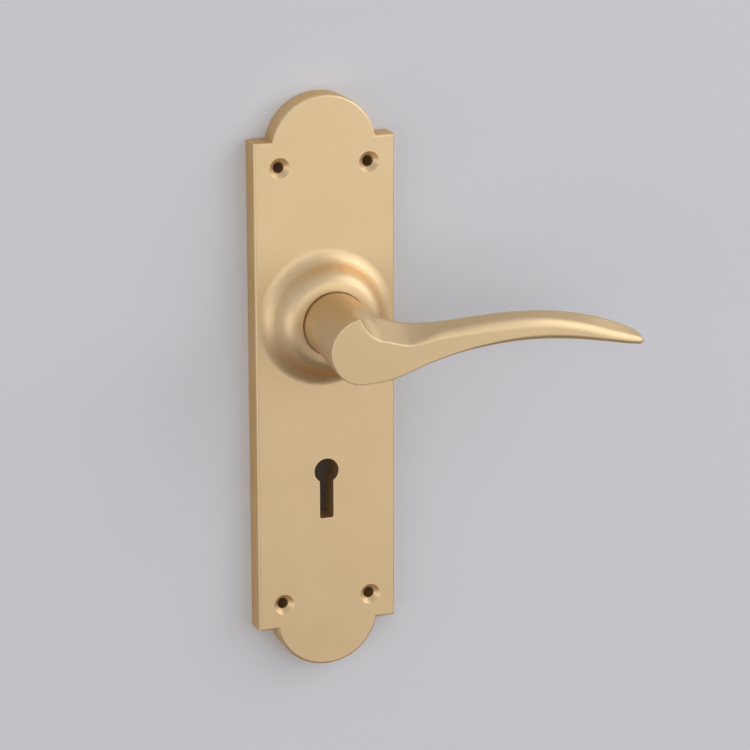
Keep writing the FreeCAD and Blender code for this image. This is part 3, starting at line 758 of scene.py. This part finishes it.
@dataclass
class Spigot:
    """Turned shank behind the lever's neck, with its two drive flats, groove and square socket."""

    radius: float = 8.0
    front: float = -32.0           # hidden inside the casting
    end: float = -1.0
    groove: tuple[float, float] = (-2.3, -1.3)
    groove_depth: float = 0.7
    flats_from: float = -4.5
    flat_half: float = 6.6
    chamfer: float = 0.25
    socket: float = 8.1
    socket_floor: float = -30.0
    columns: int = 192

    def surface(self) -> Surface:
        """Rows of points turned about the spindle axis, then drawn in to a square for the socket.

        A round row's point is its radius times (cosine, sine), held between the two flats
        behind the cam. A square row's point is the half width divided by the larger of the
        cosine's and the sine's size, so its corners fall on the diagonals.

        Returns:
            The surface.
        """
        angle = np.arange(self.columns) * 2 * math.pi / self.columns
        cos, sin = np.cos(angle), np.sin(angle)
        inner = self.radius - self.groove_depth
        start, stop = self.groove
        rounds = ((self.front, self.radius, False), (self.flats_from, self.radius, False),
                  (self.flats_from, self.radius, True), (start, self.radius, True),
                  (start, inner, True), (stop, inner, True), (stop, self.radius, True),
                  (self.end - self.chamfer, self.radius, True),
                  (self.end, self.radius - self.chamfer, True))
        rows = []
        for y, radius, flatted in rounds:
            z = radius * sin
            if flatted:
                z = np.clip(z, -self.flat_half, self.flat_half)
            rows.append(np.stack([radius * cos, np.full_like(cos, y), z], -1))
        square = self.socket / 2 / np.maximum(np.abs(cos), np.abs(sin))
        for y in (self.end, self.socket_floor):
            rows.append(np.stack([square * cos, np.full_like(cos, y), square * sin], -1))
        poles = [[0, self.front, 0], [0, self.socket_floor, 0]]
        points = np.concatenate(rows + [np.array(poles, float)])
        return Surface(points, tube_faces(len(rows), self.columns))


# ---- spring ----
@dataclass
class ReturnSpring:
    """Torsion spring: whole turns of round wire with a tang at each end along Y."""

    wire: float = 0.8
    turns: float = 2.0
    coil_radius: float = 10.65
    coil_front: float = -9.1
    coil_back: float = -5.4
    front_tip: float = -10.9
    back_tip: float = -3.1
    tang_angle: float = 100.0
    elbow: float = 0.9             # length over which the wire turns into a tang
    end_taper: float = 0.8         # the wire's last ring against the rest
    step: float = 0.3
    columns: int = 16

    def path(self) -> Points:
        """Centre line: a tang, the helix and a tang, softened over the elbow's length.

        A helix point is the coil's radius at an angle that falls evenly from the tangs' angle,
        and its depth rises evenly from the front of the coil to its back.

        Returns:
            Points along the wire, front tang first.
        """
        samples = int(self.turns * 2 * math.pi * self.coil_radius / self.step)
        share = np.linspace(0, 1, samples)
        angle = math.radians(self.tang_angle) - share * self.turns * 2 * math.pi
        depth = self.coil_front + (self.coil_back - self.coil_front) * share
        cos, sin = np.cos(angle), np.sin(angle)
        coil = np.stack([self.coil_radius * cos, depth, self.coil_radius * sin], -1)
        lead = np.arange(self.front_tip, self.coil_front, self.step)[:, None]
        tail = np.arange(self.back_tip, self.coil_back, -self.step)[::-1][:, None]
        start = coil[0] * (1, 0, 1) + lead * (0, 1, 0)
        finish = coil[-1] * (1, 0, 1) + tail * (0, 1, 0)
        line = np.concatenate([start, coil, finish])
        reach = max(1, round(self.elbow / self.step))
        first, last = np.repeat(line[:1], reach, 0), np.repeat(line[-1:], reach, 0)
        padded = np.concatenate([first, line, last])
        kernel = np.hanning(2 * reach + 3)[1:-1]
        kernel /= kernel.sum()
        return np.stack([np.convolve(padded[:, k], kernel, "valid") for k in range(3)], -1)

    def surface(self) -> Surface:
        """The wire's round section carried along the path.

        The section stands on two directions: away from the spindle axis, made square to the
        path, and the cross product of that with the path.

        Returns:
            The surface.
        """
        line = self.path()
        along = np.gradient(line, axis=0)
        along /= np.linalg.norm(along, axis=1, keepdims=True)
        out = line * (1, 0, 1)
        out = out - (out * along).sum(1, keepdims=True) * along
        out /= np.linalg.norm(out, axis=1, keepdims=True)
        side = np.cross(along, out)
        angle = np.arange(self.columns) * 2 * math.pi / self.columns
        cos, sin = np.cos(angle)[None, :, None], np.sin(angle)[None, :, None]
        ring = cos * side[:, None] + sin * out[:, None]
        radius = np.full(len(line), self.wire)
        radius[[0, -1]] *= self.end_taper
        points = (line[:, None] + radius[:, None, None] * ring).reshape(-1, 3)
        poles = np.stack([line[0], line[-1]])
        return Surface(np.concatenate([points, poles]), tube_faces(len(line), self.columns))


# ---- studio ----
@dataclass(frozen=True)
class SoftBox:
    """One soft light, placed by the direction it comes from."""

    name: str
    azimuth: float                 # degrees, 0 in front of the plate, 90 on the lever's side
    elevation: float
    distance: float
    width: float
    height: float
    power: float
    colour: tuple[float, float, float] = (1.0, 1.0, 1.0)

    def place(self, target: Vector) -> None:
        """Adds the light, facing the target."""
        a, e = math.radians(self.azimuth), math.radians(self.elevation)
        away = Vector((math.sin(a) * math.cos(e), -math.cos(a) * math.cos(e), math.sin(e)))
        data = bpy.data.lights.new(self.name, "AREA")
        data.shape = "RECTANGLE"
        data.size, data.size_y = self.width, self.height
        data.energy = self.power
        data.color = self.colour
        light = bpy.data.objects.new(self.name, data)
        light.location = target + away * self.distance
        light.rotation_euler = away.to_track_quat("Z", "Y").to_euler()
        bpy.context.scene.collection.objects.link(light)


@dataclass
class Studio:
    """Pale wall behind the plate, soft lights and the camera."""

    wall_colour: tuple[float, float, float] = (0.645, 0.650, 0.678)
    wall_shade: float = 0.985      # its darker patches against the rest
    wall_patches: float = 6.0      # patches in a metre
    wall_roughness: float = 0.7
    wall_gloss: float = 0.2
    # painted shade: the dark seen through the plate's holes, laid on flat discs and a panel just
    # behind the plate
    painted_shade_colour: tuple[float, float, float] = (0.08, 0.065, 0.055)
    painted_shade_roughness: float = 0.8
    wall_size: float = 2.4
    wall_depth: float = 0.3        # behind the plate's back, in millimetres
    wall_columns: int = 720
    middle: float = -25.5          # plate's middle
    half_width: float = 25.7       # the wall's opening, just inside the plate's outline
    half_span: float = 89.45
    arch_centre: float = 86.05     # arches' centres from the middle
    arch_radius: float = 19.05
    painted_shade_depth: float = 0.2
    slot_behind: float = 0.05      # keeps the slot's painted-shade panel clear of the eye's disc
    eyes: tuple[tuple[float, float, float], ...] = (
        (0.0, -57.0, 4.7), (-SCREW_X, 54.9, 2.1), (SCREW_X, 54.9, 2.1),
        (-SCREW_X, -105.9, 2.1), (SCREW_X, -105.9, 2.1))
    slot: tuple[float, float, float, float] = (-2.7, -74.9, 2.7, -57.0)
    eye_sides: int = 40
    air: tuple[float, float, float] = (0.93, 0.95, 1.0)
    ground: tuple[float, float, float] = (0.26, 0.20, 0.16)
    air_strength: float = 0.67
    horizon: tuple[float, float] = (-0.75, 0.1)    # heights of all ground and of all air
    lens: float = 152.09
    sensor: float = 36.0
    clip: tuple[float, float] = (0.01, 20.0)
    azimuth: float = -20.02
    elevation: float = 16.09
    roll: float = -0.12
    distance: float = 1.14219
    target: tuple[float, float, float] = (0.02165, 0.0, -0.02576)

    def opening(self, turn: np.ndarray) -> np.ndarray:
        """Edge of the wall's opening, just inside the plate's outline.

        Along each direction from the plate's middle the edge lies at the farther of two
        crossings: with the rectangle between the shoulders and with the round arched end.

        Args:
            turn: Directions from the plate's middle, in radians.

        Returns:
            Distance to the edge along each direction, in millimetres.
        """
        across, up = np.abs(np.cos(turn)), np.abs(np.sin(turn))
        straight = np.minimum(self.half_width / np.maximum(across, TINY),
                              self.half_span / np.maximum(up, TINY))
        inside = self.arch_radius ** 2 - (self.arch_centre * across) ** 2
        arched = np.where(inside > 0, self.arch_centre * up + np.sqrt(np.maximum(inside, 0)), 0)
        return np.maximum(straight, arched)

    def wall(self) -> None:
        """A flat wall seen from in front only, open behind the plate."""
        material, sheet, shader = new_material("pale_wall")
        shader.inputs["Roughness"].default_value = self.wall_roughness
        shader.inputs["Specular IOR Level"].default_value = self.wall_gloss
        coords = sheet.add("ShaderNodeTexCoord").outputs["Object"]
        shade = [c * self.wall_shade for c in self.wall_colour]
        tone = sheet.mix(shade, self.wall_colour, sheet.noise(coords, self.wall_patches))
        sheet.link(tone, shader.inputs["Base Color"])
        self.front_only(sheet, shader)
        turn = np.arange(self.wall_columns) * 2 * math.pi / self.wall_columns
        across, up = np.cos(turn), np.sin(turn)
        outer = self.wall_size / 2 / MM / np.maximum(np.abs(across), np.abs(up))
        depth = np.full_like(across, self.wall_depth)
        rows = [np.stack([reach * across, depth, reach * up + self.middle], -1)
                for reach in (outer, self.opening(turn))]
        faces = grid_faces(2, self.wall_columns, True)
        self.panel("wall", material, Surface(np.concatenate(rows), faces))

    def painted_shade_panels(self) -> None:
        """Painted shade: dark discs behind the holes and a dark panel behind the keyhole's slot,
        standing in for the shade inside them.
        """
        dark, sheet, shader = new_material("painted_shade_in_holes")
        shader.inputs["Base Color"].default_value = (*self.painted_shade_colour, 1)
        shader.inputs["Roughness"].default_value = self.painted_shade_roughness
        self.front_only(sheet, shader)
        turn = np.arange(self.eye_sides) * 2 * math.pi / self.eye_sides
        cos, sin, depth = np.cos(turn), np.sin(turn), np.full_like(turn, self.painted_shade_depth)
        discs = np.array([np.stack([x + r * cos, depth, z + r * sin], -1)
                          for x, z, r in self.eyes])
        left, low, right, high = self.slot
        y = self.painted_shade_depth + self.slot_behind
        foot = np.array([(left, y, low), (right, y, low), (right, y, high), (left, y, high)])
        count = len(self.eyes) * self.eye_sides
        faces = np.arange(count).reshape(-1, self.eye_sides).tolist()
        faces.append(list(range(count, count + len(foot))))
        self.panel("painted_shade_panels", dark, Surface(np.concatenate([discs.reshape(-1, 3), foot]), faces))

    def front_only(self, sheet: Sheet, shader: bpy.types.Node) -> None:
        """Makes a stage material clear when it is seen from behind.

        Args:
            sheet: The material's nodes.
            shader: The shader that the front shows.
        """
        clear = sheet.add("ShaderNodeBsdfTransparent")
        choice = sheet.add("ShaderNodeMixShader")
        sheet.link(sheet.add("ShaderNodeNewGeometry").outputs["Backfacing"], choice.inputs[0])
        sheet.link(shader.outputs[0], choice.inputs[1])
        sheet.link(clear.outputs[0], choice.inputs[2])
        output = next(n for n in sheet.tree.nodes if n.type == "OUTPUT_MATERIAL")
        sheet.link(choice.outputs[0], output.inputs["Surface"])

    def panel(self, name: str, material: bpy.types.Material, shape: Surface) -> None:
        """Adds a flat upright part of the stage that faces the front.

        Args:
            name: Name of the object.
            material: Its material.
            shape: Its surface.
        """
        shape.piece(name, material)

    def lights(self) -> None:
        """Pale air over a darker ground, and four large soft boxes.

        The strongest box is at the upper right, one is at the left and two are in front.
        """
        scene = bpy.context.scene
        world = scene.world or bpy.data.worlds.new("air")
        scene.world = world
        world.use_nodes = True
        background = world.node_tree.nodes["Background"]
        sheet = Sheet(world.node_tree)
        split = sheet.add("ShaderNodeSeparateXYZ")
        sheet.link(sheet.add("ShaderNodeTexCoord").outputs["Generated"], split.inputs[0])
        rise = sheet.add("ShaderNodeMapRange", interpolation_type="SMOOTHSTEP")
        rise.inputs["From Min"].default_value = self.horizon[0]
        rise.inputs["From Max"].default_value = self.horizon[1]
        sheet.link(split.outputs["Z"], rise.inputs["Value"])
        tint = sheet.mix(self.ground, self.air, rise.outputs["Result"])
        sheet.link(tint, background.inputs["Color"])
        background.inputs["Strength"].default_value = self.air_strength
        target = Vector(self.target)
        for box in (
                SoftBox("key", 64, 30, 1.6, 1.1, 1.2, 8.4, (1.0, 0.98, 0.99)),
                SoftBox("left", -58, -8, 1.6, 1.3, 0.8, 4.4, (1.0, 0.97, 0.94)),
                SoftBox("front", 30, -4, 2.0, 1.3, 1.9, 6.6, (1.0, 0.98, 0.96)),
                SoftBox("fill", -8, 10, 2.2, 0.8, 0.9, 3.4, (1.0, 0.99, 0.98)),
        ):
            box.place(target)

    def camera(self) -> None:
        """The camera on its line of sight to the target, with a slight roll."""
        a, e = math.radians(self.azimuth), math.radians(self.elevation)
        back = Vector((math.sin(a) * math.cos(e), -math.cos(a) * math.cos(e), math.sin(e)))
        right = Vector((math.cos(a), math.sin(a), 0))
        up = back.cross(right)
        turn = math.radians(self.roll)
        across = right * math.cos(turn) + up * math.sin(turn)
        above = up * math.cos(turn) - right * math.sin(turn)
        data = bpy.data.cameras.new("camera")
        data.lens = self.lens
        data.sensor_width = self.sensor
        data.clip_start, data.clip_end = self.clip
        camera = bpy.data.objects.new("camera", data)
        place = Vector(self.target) + back * self.distance
        axes = Matrix((across, above, back)).transposed().to_4x4()
        camera.matrix_world = Matrix.Translation(place) @ axes
        bpy.context.scene.collection.objects.link(camera)
        bpy.context.scene.camera = camera

    def build(self) -> None:
        """Sets the stage."""
        self.wall()
        self.painted_shade_panels()
        self.lights()
        self.camera()
        bpy.context.scene.view_settings.view_transform = "Standard"


# ---- assembly ----
@dataclass
class Assembly:
    """Puts the pieces on their bodies."""

    finishes: Finishes

    def add(self, obj: bpy.types.Object, body: str, slot: str, *nodes: str) -> None:
        """Rides a new piece on its body and hides the CAD nodes that it stands for.

        Args:
            obj: The new piece.
            body: Body that carries it.
            slot: Slot of its finish. Not used.
            nodes: CAD nodes that it stands for.
        """
        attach(obj, body)
        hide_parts(*nodes)
        LOG.info("%s: %d faces on %s", obj.name, len(obj.data.polygons), body)

    def lever(self) -> None:
        """The lever's casting and spigot."""
        casting = LeverHandle().casting().piece("lever_casting", self.finishes.lever_brass)
        self.add(casting, "lever", "satin_brass", "lever_handle")
        spigot = Spigot().surface().piece("lever_spigot", self.finishes.lever_brass)
        self.add(spigot, "lever", "satin_brass", "lever_handle")

    def plate(self) -> None:
        """The cast backplate."""
        plate = merged_copy("backplate", "shaped_backplate", self.finishes.plate_brass)
        self.add(plate, "plate", "satin_brass", "backplate")

    def spring(self) -> None:
        """The spring, swept as one wire with a tang at each end, in place of the CAD node."""
        shape = ReturnSpring()
        spring = shape.surface().piece("coiled_return_spring", self.finishes.spring_steel)
        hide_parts("return_spring")
        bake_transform(spring)
        LOG.info("%s: %d faces between plate and lever", spring.name, len(spring.data.polygons))

    def works(self) -> None:
        """Finishes of the inner pieces that keep their CAD shape."""
        finish = self.finishes
        worn = {
            "neck_bush": finish.nylon,
            "thrust_washer": finish.bronze,
            "spring_cup": finish.plated,
            "cam_plate": finish.plated,
            "wave_washer": finish.spring_steel,
            "retaining_ring": finish.spring_steel,
            "stop_pins": finish.screw_steel,
            "cover_plate": finish.plated,
            "cover_screws": finish.screw_steel,
            "backplate": finish.plate_brass,
            "lever_handle": finish.lever_brass,
            "return_spring": finish.spring_steel,
        }
        for node, material in worn.items():
            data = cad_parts[node].data
            data.materials.clear()
            data.materials.append(material)
            LOG.info("%s: finish %s", node, material.name)


def main() -> None:
    """Builds the handle and its stage."""
    logging.basicConfig(level=logging.INFO, format="%(name)s %(message)s")
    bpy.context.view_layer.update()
    assembly = Assembly(Finishes())
    assembly.plate()
    assembly.lever()
    assembly.spring()
    assembly.works()
    Studio().build()
    bpy.context.view_layer.update()


if __name__ == "__main__":
    main()
